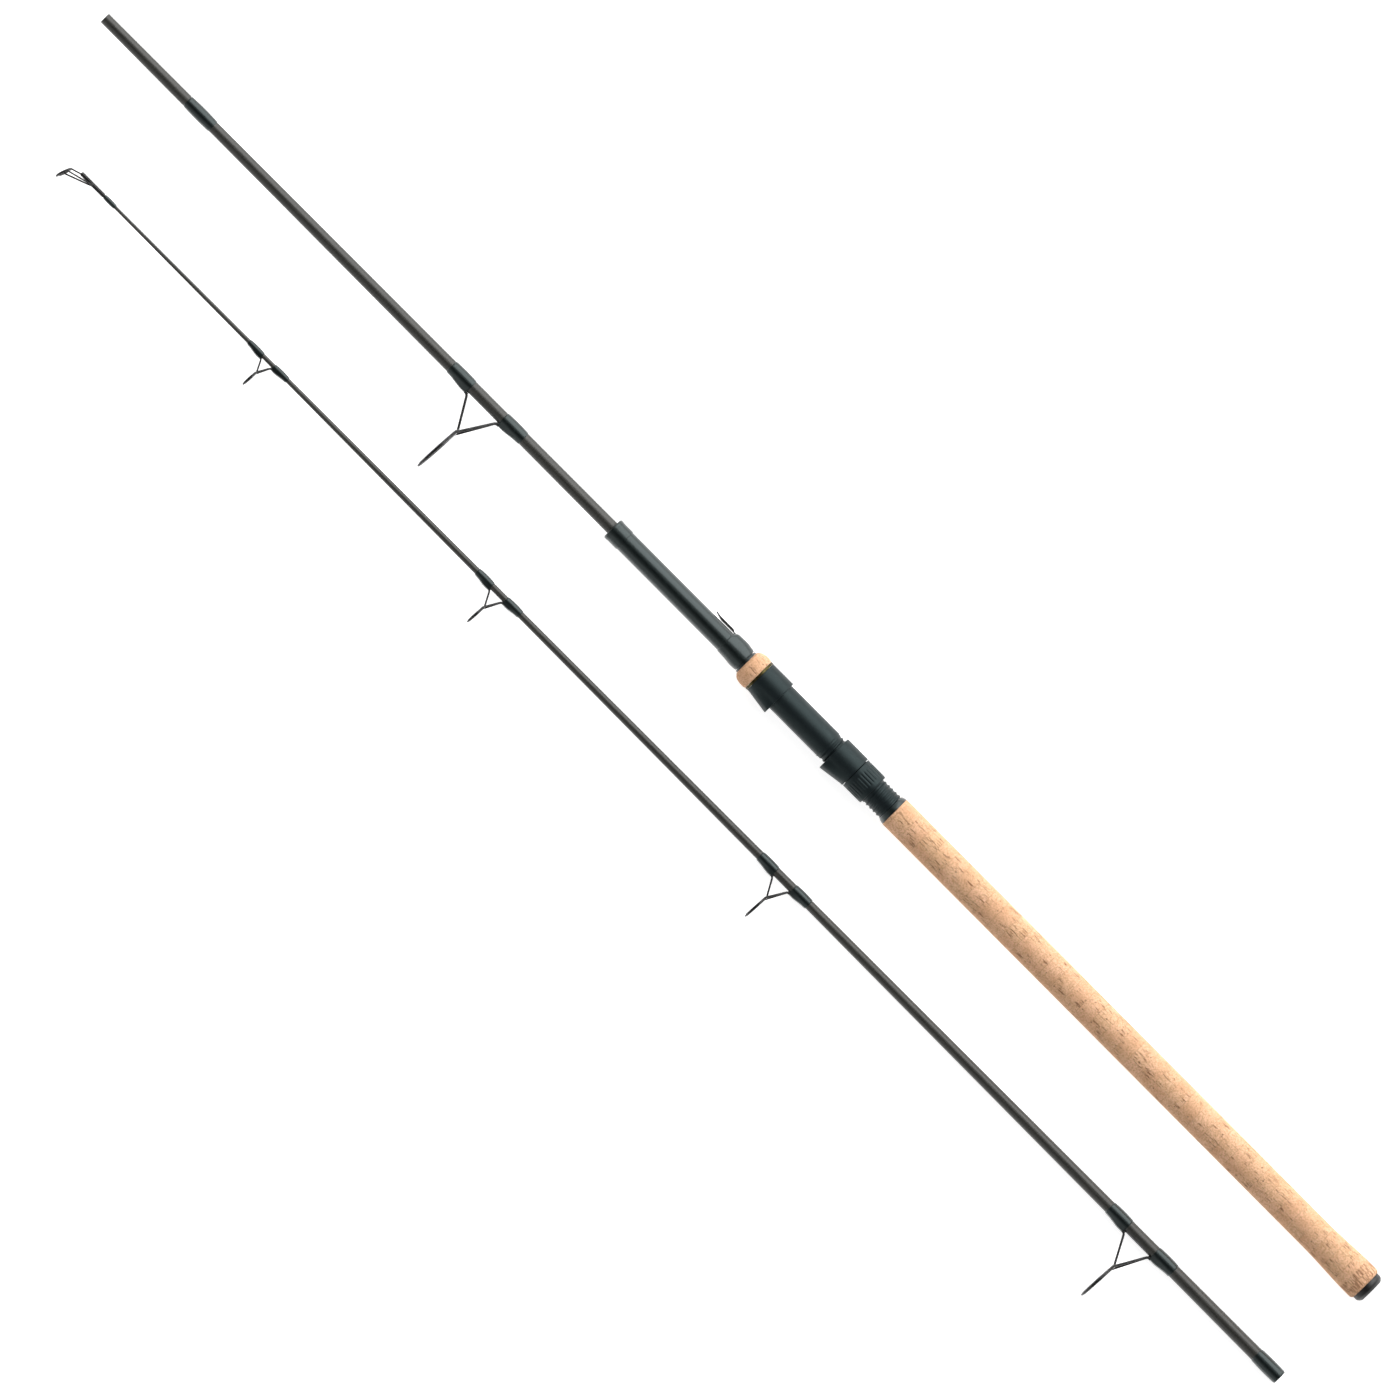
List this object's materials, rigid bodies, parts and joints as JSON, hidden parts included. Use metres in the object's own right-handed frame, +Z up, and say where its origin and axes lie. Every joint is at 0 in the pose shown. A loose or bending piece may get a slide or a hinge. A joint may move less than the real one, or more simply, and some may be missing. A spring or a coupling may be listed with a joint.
{
  "type": "spinning rod",
  "caption": "Spinning rod in two halves lying side by side: telescopic butt with cork grips and a screw reel seat, and a tapered tip half with ring guides.",
  "frame": {"origin": "centre of the footprint of the two halves, on the floor they lie on", "axes": "+X along the rod from butt to tip, +Y the side the guides point to, +Z up from the floor"},
  "size_m": [1.2884, 0.1638, 0.0397],
  "materials": {
    "cork": "sanded cork, matte",
    "rubber_black": "matte",
    "carbon_blank": "satin unidirectional carbon",
    "gloss_wrap": "high gloss varnish",
    "seat_black": "satin blue-black",
    "bronze_trim": "dark anodised",
    "gunmetal_wire": "dark gunmetal plating",
    "ceramic_black": "polished",
    "arbor_tan": "bare foam",
    "nylon_dark": "moulded"
  },
  "bodies": {
    "handle": {"butt_cap": "rubber_black", "rear_cork_grip": "cork", "rear_winding_check": "gloss_wrap", "reel_seat_body": "seat_black", "fixed_hood": "seat_black", "seat_arbor_rear": "arbor_tan", "seat_arbor_front": "arbor_tan", "trim_ring": "bronze_trim", "fore_cork_grip": "cork", "fore_winding_check": "gloss_wrap", "clip_wrap": "gloss_wrap", "handle_tube": "gloss_wrap", "front_collar": "gloss_wrap", "collar_bushing": "nylon_dark"},
    "sliding_hood": {"moving_hood": "seat_black"},
    "nut": {"lock_nut": "seat_black"},
    "clip": {"line_clip": "gunmetal_wire"},
    "telescopic_blank": {"butt_blank": "carbon_blank", "blank_stop_sleeve": "nylon_dark", "spigot_wrap": "gloss_wrap", "butt_guide_frame": "gunmetal_wire", "butt_guide_ring": "ceramic_black", "butt_guide_rear_wrap": "gloss_wrap", "butt_guide_front_wrap": "gloss_wrap"},
    "tip_section": {"tip_blank": "carbon_blank", "ferrule_wrap": "gloss_wrap", "guide_4_frame": "gunmetal_wire", "guide_4_ring": "ceramic_black", "guide_4_rear_wrap": "gloss_wrap", "guide_4_front_wrap": "gloss_wrap", "guide_3_frame": "gunmetal_wire", "guide_3_ring": "ceramic_black", "guide_3_rear_wrap": "gloss_wrap", "guide_3_front_wrap": "gloss_wrap", "guide_2_frame": "gunmetal_wire", "guide_2_ring": "ceramic_black", "guide_2_rear_wrap": "gloss_wrap", "guide_2_front_wrap": "gloss_wrap", "guide_1_frame": "gunmetal_wire", "guide_1_ring": "ceramic_black", "guide_1_rear_wrap": "gloss_wrap", "guide_1_front_wrap": "gloss_wrap", "tip_top_frame": "gunmetal_wire", "tip_top_ring": "ceramic_black", "tip_top_wrap": "gloss_wrap"}
  },
  "joints": [
    {"name": "moving_hood_slide", "type": "slide", "parent": "handle", "child": "sliding_hood", "axis": [1, 0, 0], "range_m": [-0.0171, 0.0265]},
    {"name": "lock_nut_spin", "type": "hinge", "parent": "sliding_hood", "child": "nut", "pos_m": [-0.12845, -0.06799, 0.01389], "axis": [1, 0, 0], "range_deg": [-1800, 2800]},
    {"name": "blank_retract", "type": "slide", "parent": "handle", "child": "telescopic_blank", "axis": [1, 0, 0], "range_m": [-0.088, 0]},
    {"name": "line_clip_flex", "type": "hinge", "parent": "handle", "child": "clip", "pos_m": [0.01175, -0.07682, 0.01277], "axis": [0, 0.1263, -0.992], "range_deg": [0, 3], "stiffness_Nm_per_rad": 0.5},
    {"name": "tip_section_lift", "type": "slide", "parent": "handle", "child": "tip_section", "axis": [0, 0, 1], "range_m": [0, 0.15]}
  ],
  "couplings": [
    {"joint": "moving_hood_slide", "follows": "lock_nut_spin", "m_per_rad": 0.00054113}
  ]
}
